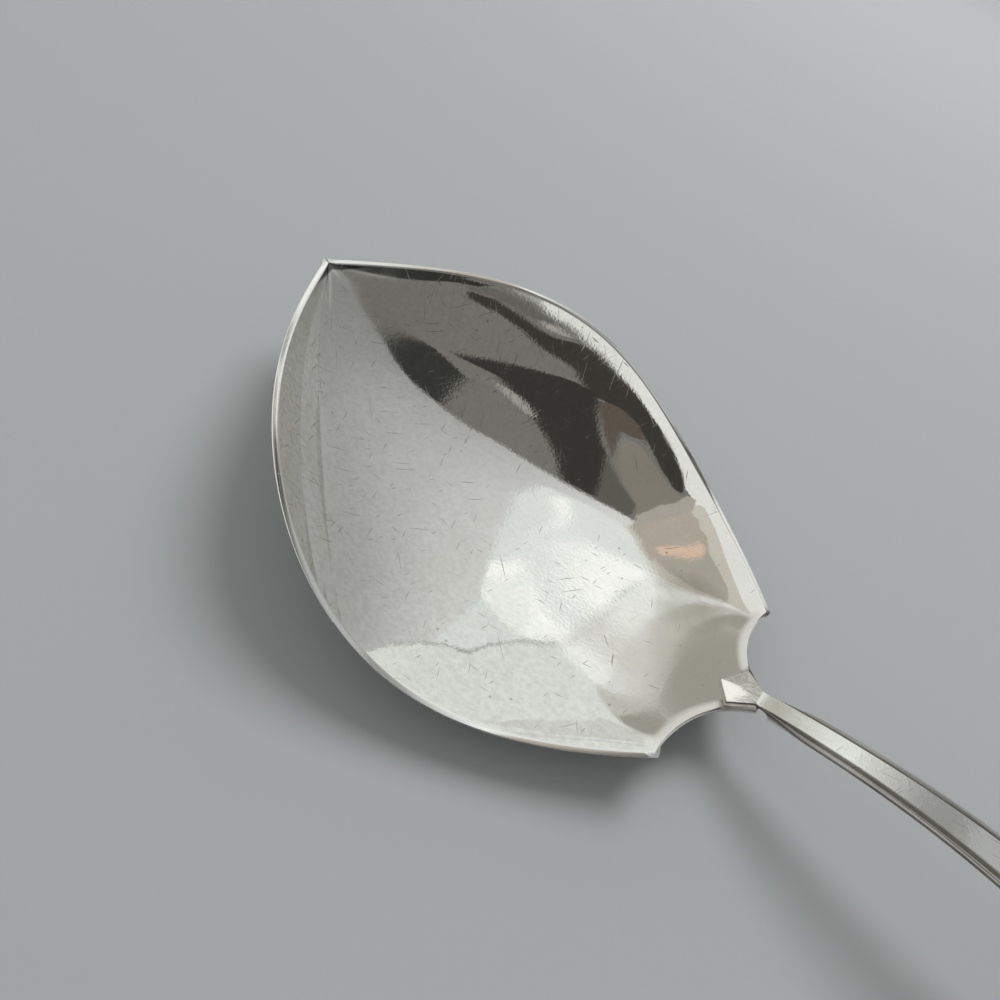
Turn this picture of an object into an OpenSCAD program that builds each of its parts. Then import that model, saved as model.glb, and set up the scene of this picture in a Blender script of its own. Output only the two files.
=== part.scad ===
// Jelly server: a dished leaf-shaped bowl with a struck handle soldered onto its neck.
// Sizes are in millimetres. +Z is up and +X runs from the bowl's tip to the handle's end.
// The bowl is drawn on the line from its tip to its shoulders, then tilted to the way it rests.

/* [Bowl] */
// Length from the tip to the line through both shoulders
bowl_len = 59.7; // [54:0.1:66]
// Half width at the shoulders
shoulder_hw = 11.6; // [10.8:0.1:13]
// Angle between the axis and the outline at the tip
tip_angle = 49.2; // [46:0.2:53]
// Reach of the outline's straight start at the tip, as a share of the length
tip_reach = 0.099; // [0.06:0.001:0.14]
// Angle between the axis and the outline at a shoulder
shoulder_angle = 46.4; // [43:0.2:50]
// Fullness of the sides, as a share of the length
side_reach = 0.83; // [0.76:0.002:0.88]
// Rise and fall of the rim along each side
rim_sway = 2.6; // [0:0.1:3]
// Thickness of the sheet in the middle
sheet_t = 1; // [0.8:0.05:1.3]
// Thickness of the sheet at its edge, which is the width of the rim's land
rim_t = 0.6; // [0.5:0.05:0.8]
// How flat the rim is filed, where 1 is square to the sheet
rim_flat = 5; // [1:0.5:6]
// Fullness of the dish's section, where 0 is a parabola and more gives a flatter floor and steeper walls
wall_round = 0.62; // [0.4:0.01:0.7]
// Steepness of the dish's floor behind the tip
entry_angle = 27; // [24:1:30]
// Length of the floor's fall behind the tip, as a share of the length
entry_reach = 0.15; // [0.12:0.005:0.2]
// Length of the floor's climb to the neck, as a share of the length
exit_reach = 0.42; // [0.38:0.005:0.46]

/* [Neck] */
// Slope of the flat neck against the line from tip to shoulders
neck_angle = 28; // [25:0.5:30]
// Height of the neck's flat under the point of the pad
neck_rise = -0.05; // [-0.2:0.05:0.2]
// Distance from the shoulder line to the waist
waist_dx = 2; // [1.8:0.1:2.5]
// Half width at the waist
waist_hw = 3.1; // [2.95:0.05:3.4]
// Length of the tongue behind the waist
tongue_len = 2.3; // [2.1:0.1:2.8]
// Half width at the end of the tongue
tongue_hw = 1.7; // [1.5:0.05:1.9]
// Half width of the flat plate between the notches
plate_hw = 7.5; // [6.5:0.1:8.5]
// Length over which the plate runs out into the dish
plate_run = 11; // [8:0.5:13]

/* [Pad] */
// Distance from the shoulder line to the point of the pad
pad_front = 0.7; // [0.6:0.05:0.9]
// Thickness of the pad at its point
pad_t = 0.26; // [0.22:0.02:0.5]
// Climb of the pad's top against the neck
pad_climb = 2.5; // [1.5:0.1:4]
// Distance along the neck from the pad's point to its side corners
pad_corner = 1.6; // [1.4:0.05:1.8]
// Half width of the pad at its corners
pad_hw = 2.45; // [2.2:0.05:2.6]
// Distance along the neck from the pad's point to the arris behind it
pad_len = 3.8; // [3.6:0.05:3.9]
// Height of the pad's corners over its middle
pad_dish = 0.15; // [0:0.05:0.3]

/* [Handle] */
// Length of the handle behind the pad
handle_len = 92; // [84:1:104]
// Distance from the arris to the top of the arch
crest_dx = 32; // [28:1:36]
// Height of the arch over the arris, as the piece rests
crest_dz = 6; // [5:0.1:7]
// Slope of the handle at the arris, against the line from tip to shoulders
stem_angle = 26.3; // [24:0.1:28]
// Half width of the top panel at the neck
panel_neck_hw = 0.9; // [0.8:0.05:1.1]
// Half width of the top panel before the pointed end
panel_end_hw = 5.4; // [4.5:0.1:6]
// Width of the groove beside the panel
groove_w = 0.32; // [0.25:0.01:0.4]
// Depth of the groove
groove_d = 0.3; // [0.2:0.02:0.36]
// Width of the raised thread along each edge
thread_w = 0.45; // [0.4:0.05:0.6]
// Growth of groove and thread from neck to end
thread_growth = 1.7; // [1.2:0.1:2]
// Thickness of the handle behind the pad
neck_t = 2; // [1.8:0.1:2.4]
// Thickness of the handle at its end
end_t = 1.5; // [1.3:0.1:1.8]
// Height of the handle's side edge at the neck
edge_neck = 0.4; // [0.36:0.02:0.5]
// Height of the handle's side edge at its end
edge_end = 0.8; // [0.6:0.05:0.95]
// Length of the pointed end
point_len = 10; // [8:0.5:12]
// Length of the end that lies flat on the table
foot_len = 7; // [6:0.5:9]

/* [Solder] */
// Thickness of the solder between pad and neck
solder_t = 0.08; // [0.06:0.01:0.12]
// Width and height of the fillet around the pad
fillet = 0.16; // [0.1:0.02:0.2]

/* [Rest] */
// Lift of the tip over the shoulders as the piece rests
rest_tilt = 5.5; // [4:0.25:7]

/* [Hidden] */
silver = [0.80, 0.80, 0.78];
solder_grey = [0.62, 0.61, 0.58];
side_rows = 34;
notch_rows = 9;
tongue_rows = 4;
half_cols = 12;
arch_rows = 14;
fall_rows = 20;
foot_rows = 16;
// Share of the outline skipped at the tip, which leaves a small blunt end
tip_cut = 0.02;
// Rows bend back in the middle by this much at the shoulders, from this share of the length on
row_bend = 3.2;
bend_start = 0.7;
// Share of the notch after which the rows lie behind the flat's start, and that start before the pad
notch_flat = 0.62;
flat_lead = 0.5;
waist_bow = 0.5;
// Handles of the outline's curves behind the shoulders: [share of the length, share of the narrowing]
notch_bow = [[-0.08, 0.33], [0.17, 0.72]];
tongue_bow = [[0.26, 0.56], [0.65, 0.81]];
// Half step for reading the slope of the dish
slope_step = 0.05;
// Gap between the end of the tongue and the step in the handle
tongue_gap = 0.12;
step_len = 0.8;
width_power = 1.6;
// The back's flat as a share of the width, and its bevel's knee as a share of width and of depth
flat_neck = 0.2;
flat_end = 0.78;
knee_neck = [0.62, 0.5];
knee_end = [0.92, 0.6];
point_power = 1.7;
point_hw = 0.35;
pad_point_hw = 0.18;
thread_drop = 0.08;
// Slope of the groove's sides, as a share of its width
groove_foot = 0.3;
// At the pointed end the panel and the groove close to these
least_hw = 0.1;
least_open = 0.05;
// Handles of the handle's curves as shares of their run, and crowding of the rows to the point
arch_reach = [0.33, 0.36];
fall_reach = [0.42, 0.40];
foot_power = 1.5;

function lerp(a, b, t) = a + (b - a) * t;
function polar(r, a) = r * [cos(a), sin(a)];
function bez(p, t) =
  pow(1 - t, 3) * p[0] + 3 * t * pow(1 - t, 2) * p[1] + 3 * t * t * (1 - t) * p[2] + t * t * t * p[3];
// Direction of a curve in degrees
function bez_angle(p, t) =
  let (d = pow(1 - t, 2) * (p[1] - p[0]) + 2 * t * (1 - t) * (p[2] - p[1]) + t * t * (p[3] - p[2]))
  atan2(d[1], d[0]);
// Turns a point of the drawing to the way the piece rests
function rest(p) = [
  p[0] * cos(rest_tilt) + p[2] * sin(rest_tilt),
  p[1],
  p[2] * cos(rest_tilt) - p[0] * sin(rest_tilt)
];

// The flat of the neck
neck_x = bowl_len + pad_front;
flat_x = neck_x - flat_lead;
waist_x = bowl_len + waist_dx;
tongue_x = waist_x + tongue_len;
function neck_z(x) = neck_rise + (x - neck_x) * tan(neck_angle);

// Outline: side, notch and tongue
side_curve = [
  [0, 0],
  polar(tip_reach * bowl_len, tip_angle),
  [bowl_len, shoulder_hw] + polar(side_reach * bowl_len, 180 - shoulder_angle),
  [bowl_len, shoulder_hw]
];
notch_curve = [
  [bowl_len, shoulder_hw],
  [bowl_len + waist_dx * notch_bow[0][0], lerp(shoulder_hw, waist_hw, notch_bow[0][1])],
  [bowl_len + waist_dx * notch_bow[1][0], lerp(shoulder_hw, waist_hw, notch_bow[1][1])],
  [waist_x, waist_hw]
];
tongue_curve = [
  [waist_x, waist_hw],
  [waist_x + tongue_len * tongue_bow[0][0], lerp(waist_hw, tongue_hw, tongue_bow[0][1])],
  [waist_x + tongue_len * tongue_bow[1][0], lerp(waist_hw, tongue_hw, tongue_bow[1][1])],
  [tongue_x, tongue_hw]
];

// Half width of the outline and floor of the dish along the middle, both read over x
dish_curve = [
  [0, 0],
  polar(entry_reach * bowl_len, -entry_angle),
  [flat_x, neck_z(flat_x)] - polar(exit_reach * bowl_len, neck_angle),
  [flat_x, neck_z(flat_x)]
];
table_steps = 160;
side_table = [for (i = [0:table_steps]) bez(side_curve, i / table_steps)];
dish_table = [for (i = [0:table_steps]) bez(dish_curve, i / table_steps)];
function side_hw(x) =
  x < bowl_len ? lookup(x, side_table) : shoulder_hw - (x - bowl_len) * tan(shoulder_angle);
function floor_at(x) = x < flat_x ? lookup(x, dish_table) : neck_z(x);
function rim_at(x) = rim_sway * sin(360 * x / bowl_len);

// Height of the sheet's upper face: a curved wall between floor and rim, around the plate at the neck
function clamp(t) = min(1, max(0, t));
function ease(t) = t * t * (3 - 2 * t);
function wall(q) = (1 - wall_round) * q * q + wall_round * pow(q, 4);
function plate_at(x) = plate_hw * ease(clamp((x - flat_x + plate_run) / plate_run));
function dish(x, y) =
  let (a = abs(y) - plate_at(x), q = a > 0 ? a / (side_hw(x) - plate_at(x)) : 0)
  floor_at(x) + (rim_at(x) - floor_at(x)) * wall(q);

// Rows across the sheet, each between two opposite points of the outline
function sheet_row(e, xc) = [
  for (j = [-half_cols:half_cols])
    let (s = j / half_cols, x = xc + (e[0] - xc) * s * s, y = e[1] * s)
    [x, y, dish(x, y)]
];
function bend(x) = row_bend * pow(max(0, (x / bowl_len - bend_start) / (1 - bend_start)), 2);
top_grid = [
  for (i = [0:side_rows])
    let (e = bez(side_curve, lerp(tip_cut, 1, i / side_rows)))
    sheet_row(e, e[0] - bend(e[0])),
  for (i = [1:notch_rows])
    let (q = i / notch_rows, m = (q - notch_flat) / (1 - notch_flat))
    sheet_row(bez(notch_curve, q), q < notch_flat
      ? lerp(bowl_len - row_bend, flat_x, q / notch_flat)
      : lerp(flat_x, waist_x - waist_bow, m)),
  for (i = [1:tongue_rows])
    let (q = i / tongue_rows)
    sheet_row(bez(tongue_curve, q), lerp(waist_x - waist_bow, tongue_x, q))
];
rows = len(top_grid);
cols = 2 * half_cols + 1;
function unit(v) = v / norm(v);
// Direction out of the sheet's upper face
function sheet_normal(p) =
  let (h = slope_step, x = p[0], y = p[1])
  unit([dish(x - h, y) - dish(x + h, y), dish(x, y - h) - dish(x, y + h), 2 * h]);
// The sheet thins towards its edge
function sheet_at(j) = lerp(sheet_t, rim_t, pow(abs(j - half_cols) / half_cols, 4));
// Along the sides and notches the rim is filed to a flat land that faces up, which runs out on the tongue
function land_at(i) = lerp(rim_flat, 1, clamp((i - side_rows - notch_rows) / (tongue_rows - 1)));
function back_way(i, j) =
  let (n = sheet_normal(top_grid[i][j]), k = abs(j - half_cols) == half_cols ? land_at(i) : 1)
  unit([k * n[0], i == 0 ? 0 : k * n[1], n[2]]);
bowl_top = [for (i = [0:rows - 1]) for (j = [0:cols - 1]) rest(top_grid[i][j])];
bowl_back = [
  for (i = [0:rows - 1])
    for (j = [0:cols - 1])
      rest(top_grid[i][j] - sheet_at(j) * back_way(i, j))
];
floor_z = min([for (p = bowl_back) p[2]]);
tip_x = min([for (p = concat(bowl_top, bowl_back)) p[0]]);

// Handle: half of its section at one station, from the middle of the top to the middle of the back.
// g opens the groove and thread: at 0 the side of the panel is a plain wall down to the back.
function half_section(hw, dish, g, grow, back, edge, knee, share) =
  let (gw = g * groove_w * grow, tw = g * thread_w * grow, out = hw + gw + tw)
  let (step = (dish + edge) / 5)
  [
    [0, 0],
    [hw, dish],
    [hw + gw * groove_foot, dish - lerp(step, groove_d, g)],
    [hw + gw * (1 - groove_foot), dish - lerp(2 * step, groove_d, g)],
    [hw + gw, dish - lerp(3 * step, thread_drop, g)],
    [out, dish - lerp(4 * step, thread_drop, g)],
    [out, -edge],
    [knee[0] * out, -lerp(edge, back, knee[1])],
    [share * out, -back],
    [0, -back]
  ];
// A station: [position [x, z] of the top's middle, angle, half section]
function station_loop(s) = [
  for (i = [0:half_pts - 1]) section_point(s, s[2][i][0], s[2][i][1]),
  for (i = [half_pts - 2:-1:1]) section_point(s, -s[2][i][0], s[2][i][1])
];
function section_point(s, y, h) = [s[0][0] - h * sin(s[1]), y, s[0][1] + h * cos(s[1])];

// Point over the neck's flat: a along the slope from the pad's point, b out of the slope
function neck_point(a, y, b) = rest([
  neck_x + a * cos(neck_angle) - b * sin(neck_angle),
  y,
  neck_rise + a * sin(neck_angle) + b * cos(neck_angle)
]);
function pad_top(a) = solder_t + pad_t + a * tan(pad_climb);
lap_end = (tongue_x - neck_x) / cos(neck_angle) + tongue_gap;
function pad_station(a, hw, dish) =
  let (p = neck_point(a, 0, pad_top(min(a, pad_len))), t = pad_top(min(a, pad_len)) - solder_t)
  [[p[0], p[2]], neck_angle - rest_tilt, half_section(hw, dish, 0, 1, t, t, knee_neck, flat_neck)];

arris = neck_point(pad_len, 0, pad_top(pad_len));
lap_top = neck_point(lap_end, 0, pad_top(pad_len));
crest = [arris[0] + crest_dx, arris[2] + crest_dz];
end_x = arris[0] + handle_len;
foot = [end_x - foot_len, floor_z + end_t];
arch_curve = [
  [lap_top[0], lap_top[2]],
  [lap_top[0], lap_top[2]] + polar(crest_dx * arch_reach[0], stem_angle - rest_tilt),
  crest - [crest_dx * arch_reach[1], 0],
  crest
];
fall_curve = [
  crest,
  crest + [(foot[0] - crest[0]) * fall_reach[0], 0],
  foot - [(foot[0] - crest[0]) * fall_reach[1], 0],
  foot
];
function run_share(x) = max(0, (x - arris[0]) / (handle_len - point_len));
function panel_hw(x) = lerp(panel_neck_hw, panel_end_hw, pow(min(1, run_share(x)), width_power));
function grow(x) = lerp(1, thread_growth, min(1, run_share(x)));
function thick(x) = lerp(neck_t, end_t, min(1, max(0, (x - arris[0]) / (handle_len - foot_len))));
// Outline of the pointed end
function outline_hw(x) =
  let (t = max(0, (x - end_x + point_len) / point_len), w = panel_hw(x) + (groove_w + thread_w) * grow(x))
  lerp(w, point_hw, pow(t, point_power));
function stem_station(p, angle) =
  let (x = p[0], border = (groove_w + thread_w) * grow(x), w = outline_hw(x))
  let (g = min(1, max(least_open, (w - least_hw) / border)), k = min(1, run_share(x)))
  [p, angle, half_section(max(least_hw, w - border), 0, g, grow(x), thick(x), lerp(edge_neck, edge_end, k),
    lerp(knee_neck, knee_end, k), lerp(flat_neck, flat_end, k))];

stations = [
  pad_station(0, pad_point_hw, 0),
  pad_station(pad_corner, pad_hw, pad_dish),
  pad_station(pad_len, panel_neck_hw, 0),
  pad_station(lap_end, panel_neck_hw, 0),
  for (i = [1:arch_rows])
    let (t = lerp(step_len / crest_dx, 1, (i - 1) / (arch_rows - 1)))
    stem_station(bez(arch_curve, t), bez_angle(arch_curve, t)),
  for (i = [1:fall_rows])
    stem_station(bez(fall_curve, i / fall_rows), bez_angle(fall_curve, i / fall_rows)),
  for (i = [1:foot_rows])
    stem_station([foot[0] + foot_len * (1 - pow(1 - i / foot_rows, foot_power)), foot[1]], 0)
];
half_pts = len(stations[0][2]);

// Solder: outline of the joint in the neck's flat, as [along, half width]
joint_outline = [
  [0, pad_point_hw],
  [pad_corner, pad_hw],
  [pad_len, panel_neck_hw],
  [lap_end - 2 * tongue_gap, panel_neck_hw]
];
function joint_loop(d, b) = [
  for (i = [0:len(joint_outline) - 1]) joint_point(i, d, b, 1),
  for (i = [len(joint_outline) - 1:-1:0]) joint_point(i, d, b, -1)
];
function joint_point(i, d, b, side) =
  let (p = joint_outline[i], fore = i == 0 ? -d : 0)
  neck_point(p[0] + fore, side * (p[1] + d), b);

place = [-(tip_x + end_x) / 2, 0, -floor_z];

// Triangles between two neighbouring runs of points, n points in a run
function strip(n, a, b, closed) = [
  for (j = [0:n - (closed ? 1 : 2)])
    let (k = (j + 1) % n)
    each [[a + j, b + j, b + k], [a + j, b + k, a + k]]
];
// Triangles that close a handle section, n points in the loop, the first one at index a
function section_cap(n, a) =
  let (r = [for (i = [0:half_pts - 1]) a + i], l = [for (i = [0:half_pts - 1]) a + (n - i) % n])
  [
    [r[0], r[1], r[2]], [r[0], r[2], l[2]], [r[0], l[2], l[1]],
    for (i = [2:4]) each [[r[i], r[i + 1], l[i + 1]], [r[i], l[i + 1], l[i]]],
    for (i = [6:8]) each [[r[5], r[i], r[i + 1]], [l[5], l[i + 1], l[i]]],
    [r[5], r[9], l[5]]
  ];
function flip(faces) = [for (f = faces) [f[2], f[1], f[0]]];

module bowl() {
  n = rows * cols;
  last = (rows - 1) * cols;
  top_faces = [for (i = [0:rows - 2]) each strip(cols, i * cols, (i + 1) * cols, false)];
  back_faces = [for (i = [0:rows - 2]) each flip(strip(cols, n + i * cols, n + (i + 1) * cols, false))];
  ends = [
    for (j = [0:cols - 2]) each [[j, j + 1, n + j + 1], [j, n + j + 1, n + j]],
    for (j = [0:cols - 2])
      each flip([[last + j, last + j + 1, n + last + j + 1], [last + j, n + last + j + 1, n + last + j]])
  ];
  edges = [
    for (i = [0:rows - 2])
      let (a = i * cols, b = (i + 1) * cols, c = a + cols - 1, d = b + cols - 1)
      each [[a, n + a, n + b], [a, n + b, b], [c, n + d, n + c], [c, d, n + d]]
  ];
  color(silver)
  translate(place)
  polyhedron(points = concat(bowl_top, bowl_back),
    faces = flip(concat(top_faces, back_faces, ends, edges)));
}

module handle() {
  n = 2 * half_pts - 2;
  last = (len(stations) - 1) * n;
  walls = [for (i = [0:len(stations) - 2]) each strip(n, i * n, (i + 1) * n, true)];
  color(silver)
  translate(place)
  polyhedron(points = [for (s = stations) each station_loop(s)],
    faces = flip(concat(walls, section_cap(n, 0), flip(section_cap(n, last)))));
}

module solder_seam() {
  n = 2 * len(joint_outline);
  loops = [joint_loop(0, solder_t), joint_loop(0, solder_t + fillet), joint_loop(fillet, 0)];
  walls = [for (i = [0:1]) each strip(n, i * n, (i + 1) * n, true)];
  cap = [for (i = [0:n / 2 - 2]) each [[i, i + 1, n - 1 - i], [i + 1, n - 2 - i, n - 1 - i]]];
  base = [for (f = cap) [f[2] + 2 * n, f[1] + 2 * n, f[0] + 2 * n]];
  color(solder_grey)
  translate(place)
  polyhedron(points = [for (l = loops) each l], faces = concat(walls, cap, base));
}

bowl();
handle();
solder_seam();
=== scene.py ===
# %% [markdown]
# # A silver jelly server
# A jelly server is a small serving piece: a broad leaf-shaped bowl, dished like a shallow spoon, with a
# slim handle soldered onto its neck. The CAD model gives the frame, so every piece here is made at
# the origin, in metres, and stands where the CAD says.

# %% Load the frame
import math

import bpy
import bmesh
import numpy as np
from mathutils import Matrix, Vector


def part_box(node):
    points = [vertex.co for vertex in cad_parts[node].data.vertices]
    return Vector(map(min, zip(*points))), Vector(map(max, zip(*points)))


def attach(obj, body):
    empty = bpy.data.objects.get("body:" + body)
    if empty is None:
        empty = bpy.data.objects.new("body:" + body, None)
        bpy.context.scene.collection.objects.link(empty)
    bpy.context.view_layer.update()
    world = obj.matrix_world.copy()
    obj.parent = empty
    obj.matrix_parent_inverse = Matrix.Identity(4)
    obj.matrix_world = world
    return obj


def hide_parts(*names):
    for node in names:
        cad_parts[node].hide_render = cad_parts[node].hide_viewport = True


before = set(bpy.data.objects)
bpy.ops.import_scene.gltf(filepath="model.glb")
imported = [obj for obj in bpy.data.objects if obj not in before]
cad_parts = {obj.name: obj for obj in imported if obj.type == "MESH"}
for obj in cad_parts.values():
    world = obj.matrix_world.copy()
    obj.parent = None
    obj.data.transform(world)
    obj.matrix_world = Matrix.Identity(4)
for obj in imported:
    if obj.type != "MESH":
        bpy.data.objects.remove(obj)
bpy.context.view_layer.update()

MM = 0.001


# %% [markdown]
# ## The camera
# The photograph was taken close by, from above the left side of the bowl, with the camera turned. A
# camera is easiest to copy as a matrix: three directions (right, up and back) and a place. A focal
# length of 27 mm on the usual 36 mm sensor gives the photograph's strong perspective.

# %% Camera
camera = bpy.data.objects.new("camera", bpy.data.cameras.new("camera"))
bpy.context.scene.collection.objects.link(camera)
right = (0.70048, 0.63942, 0.31697)
up = (-0.6675, 0.42983, 0.60802)
back = (0.25254, -0.63748, 0.7279)
camera_place = np.array([-25.493, -52.516, 61.783]) * MM
camera_turn = Matrix((right, up, back)).transposed().to_4x4()
camera.matrix_world = Matrix.Translation(camera_place) @ camera_turn
camera.data.sensor_width = 36
camera.data.lens = 27.22
camera.data.clip_start = 0.001
bpy.context.scene.camera = camera
print("camera is", round(float(np.linalg.norm(camera_place)) / MM), "mm from the origin")

# %% [markdown]
# ## The leaf outline
# The bowl was cut from sheet silver along a leaf outline: a pointed tip, two full sides, then a notch on
# each side that leads to the narrow neck. Cubic curves are how such an outline is drawn on paper too: a
# start, an end, and two handles that set the direction and the fullness. Lengths are in millimetres.

# %% Curve helpers
def polar(length, degrees):
    return length * np.array([math.cos(math.radians(degrees)), math.sin(math.radians(degrees))])


def curve(points, t):
    t = np.asarray(t, float)[..., None]
    a, b, c, d = (np.asarray(p, float) for p in points)
    return (1 - t) ** 3 * a + 3 * t * (1 - t) ** 2 * b + 3 * t * t * (1 - t) * c + t**3 * d


def mix(a, b, t):
    return a + (b - a) * t


def ease(t):
    t = np.clip(t, 0, 1)
    return t * t * (3 - 2 * t)


def unit(v):
    return v / np.linalg.norm(v, axis=-1, keepdims=True)


print("halfway along an eased step:", float(ease(0.5)))

# %% Outline of the leaf
LEAF, SHOULDER = 59.7, 11.6
WAIST, WAIST_RUN = 3.1, 2.0
TONGUE, TONGUE_RUN = 1.1, 4.3
TIP_REACH, TIP_ANGLE = 0.099 * LEAF, 49.2
SHOULDER_REACH, SHOULDER_ANGLE = 0.83 * LEAF, 46.4
waist_x, tongue_x = LEAF + WAIST_RUN, LEAF + TONGUE_RUN
shoulder, waist = np.array([LEAF, SHOULDER]), np.array([waist_x, WAIST])
full_side = shoulder + polar(SHOULDER_REACH, 180 - SHOULDER_ANGLE)
side = [(0, 0), polar(TIP_REACH, TIP_ANGLE), full_side, shoulder]
hook, slant = (LEAF - 0.16, mix(SHOULDER, WAIST, 0.33)), (LEAF + 0.34, mix(SHOULDER, WAIST, 0.72))
notch = [shoulder, hook, slant, waist]
tongue = [waist, waist + (0.5, -0.5), waist + (1.3, -1.5), (tongue_x, TONGUE)]
widest = curve(side, np.linspace(0, 1, 400))[:, 1].max()
print("widest half width in mm:", round(float(widest), 2))

# %% [markdown]
# ## The dish
# The sheet was sunk into a hollow, so its floor falls away behind the tip and climbs to a flat plate
# between the notches, while the rim sways up and down a little. One height function says all of that. It
# could be a sculpted mesh, but polished silver mirrors everything, and only a smooth function mirrors well.

# %% Lines of the dish
PAD_FRONT, PLATE_LEAD = 0.7, 0.5
NECK_SLOPE, NECK_RISE = 28.0, -0.05
ENTRY_REACH, ENTRY_ANGLE, CLIMB_REACH = 0.15 * LEAF, 27, 0.42 * LEAF
neck_x = LEAF + PAD_FRONT
flat_x = neck_x - PLATE_LEAD
neck_tan = math.tan(math.radians(NECK_SLOPE))
neck_start = np.array([flat_x, NECK_RISE + (flat_x - neck_x) * neck_tan])
entry, climb = polar(ENTRY_REACH, -ENTRY_ANGLE), neck_start - polar(CLIMB_REACH, NECK_SLOPE)
floor_line = [(0, 0), entry, climb, neck_start]
side_table = curve(side, np.linspace(0, 1, 6001))
floor_table = curve(floor_line, np.linspace(0, 1, 6001))
print("the floor line is lowest at", round(float(floor_table[:, 1].min()), 2), "mm")

# %% Height of the sheet
PLATE, PLATE_RUN = 7.5, 11.0
FULLNESS, SWAY = 0.62, 2.6


def dish(x, y):
    past_leaf = SHOULDER - (x - LEAF) * math.tan(math.radians(SHOULDER_ANGLE))
    reach = np.where(x < LEAF, np.interp(x, *side_table.T), past_leaf)
    floor = np.where(x < flat_x, np.interp(x, *floor_table.T), NECK_RISE + (x - neck_x) * neck_tan)
    plate = PLATE * ease((x - flat_x + PLATE_RUN) / PLATE_RUN)
    q = np.maximum(np.abs(y) - plate, 0) / np.maximum(reach - plate, 1e-6)
    wall = (1 - FULLNESS) * q**2 + FULLNESS * q**4
    return floor + (SWAY * np.sin(2 * np.pi * x / LEAF) - floor) * wall


def upward(x, y, h=0.05):
    fall_x, fall_y = dish(x - h, y) - dish(x + h, y), dish(x, y - h) - dish(x, y + h)
    return unit(np.stack([fall_x, fall_y, np.full_like(x, 2 * h)], -1))


rim_height = dish(side_table[:, 0], side_table[:, 1])
print("the rim sways from", rim_height.min().round(2), "to", rim_height.max().round(2), "mm")

# %% [markdown]
# ## From the drawing to the table
# The curves are drawn flat, on the line from tip to shoulders. The finished piece rests on the bottom of
# its bowl and the end of its handle, which tips the drawing by a few degrees. The handle's box in the
# frame tells us how far to move it, so the new pieces land exactly on the CAD solids.

# %% Rest position
REST_TILT = 5.5
PAD_T, PAD_LENGTH, PAD_CLIMB = 0.26, 3.8, math.tan(math.radians(2.5))
SOLDER_T = 0.08
tilt = math.radians(REST_TILT)


def tipped(p):
    x, y, z = np.moveaxis(np.asarray(p, float), -1, 0)
    c, s = math.cos(tilt), math.sin(tilt)
    return np.stack([x * c + z * s, y, z * c - x * s], -1)


def pad_top(along):
    return SOLDER_T + PAD_T + along * PAD_CLIMB


def over_neck(along, y, above):
    c, s = math.cos(math.radians(NECK_SLOPE)), math.sin(math.radians(NECK_SLOPE))
    along, y, above = np.broadcast_arrays(*(np.asarray(v, float) for v in (along, y, above)))
    return tipped(np.stack([neck_x + along * c - above * s, y, NECK_RISE + along * s + above * c], -1))


HANDLE, CREST_RUN, CREST_RISE, FOOT = 92.0, 32.0, 6.0, 7.0
arris = over_neck(PAD_LENGTH, 0, pad_top(PAD_LENGTH))[[0, 2]]
end_x, crest = arris[0] + HANDLE, arris + (CREST_RUN, CREST_RISE)
handle_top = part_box("handle")[1]
move = np.array([handle_top.x / MM - end_x, 0, handle_top.z / MM - crest[1]])
print("drawing moved by", move.round(3), "mm")

# %% [markdown]
# ## Building a piece from sections
# Both the bowl and the handle are the same left and right, so each can be made from half sections: rows
# of points from the middle of the top, round the edge, to the middle of the back. One helper mirrors
# each half into a closed loop, joins loop to loop with quads and closes both ends. A second one rounds a
# corner, and a third stores a number at each point, which a material can read later.

# %% Loft helper
def ring_faces(rows, n):
    around = [[r * n + i, r * n + (i + 1) % n, (r + 1) * n + (i + 1) % n, (r + 1) * n + i]
              for r in range(rows - 1) for i in range(n)]
    return around + [list(range(n))[::-1], list(range((rows - 1) * n, rows * n))]


def place_piece(name, mesh):
    piece = bpy.data.objects.new(name, mesh)
    bpy.context.scene.collection.objects.link(piece)
    return piece


def loft(name, halves, sharp_degrees):
    loops = np.concatenate([halves, halves[:, -2:0:-1] * (1, -1, 1)], 1)
    points = loops.reshape(-1, 3)
    mesh = bpy.data.meshes.new(name)
    mesh.from_pydata((points * MM).tolist(), [], ring_faces(*loops.shape[:2]))
    shaped = bmesh.new()
    shaped.from_mesh(mesh)
    bmesh.ops.recalc_face_normals(shaped, faces=shaped.faces)
    shaped.to_mesh(mesh)
    shaped.free()
    mesh.shade_smooth()
    mesh.set_sharp_from_angle(angle=math.radians(sharp_degrees))
    size = (points.max(0) - points.min(0)).round(2)
    print(name, "has", len(mesh.vertices), "points and measures", size, "mm")
    return place_piece(name, mesh)


print("faces in a closed tube of 3 rings of 4 points:", len(ring_faces(3, 4)))

# %% Rounding and marking helpers
def soften(before, corner, after, radius, steps):
    t = np.linspace(0, 1, steps)[None, :, None]
    a, b = corner + unit(before - corner) * radius, corner + unit(after - corner) * radius
    return (1 - t) ** 2 * a[:, None] + 2 * t * (1 - t) * corner[:, None] + t * t * b[:, None]


def paint(piece, name, halves):
    both = np.concatenate([halves, halves[:, -2:0:-1]], 1)
    layer = piece.data.attributes.new(name, "FLOAT", "POINT")
    layer.data.foreach_set("value", both.ravel().astype(np.float32))
    print(piece.name, "is marked", name, "on", int((both > 0.5).sum()), "points")


print("helpers for rounding a corner and marking points are ready")

# %% [markdown]
# ## The bowl
# Each row of the bowl runs across the leaf between two opposite points of the outline. The rows could be
# straight, but then they would crowd at the shoulders, so their middles lag behind there.

# %% Rows of the bowl
SIDE_ROWS, NOTCH_ROWS, TONGUE_ROWS = 170, 48, 16
FIRST_ROW, LAG_FROM, LAG, TONGUE_LAG = 0.006, 0.7, 3.2, 0.5
LAND_TURN = 5.0


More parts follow.
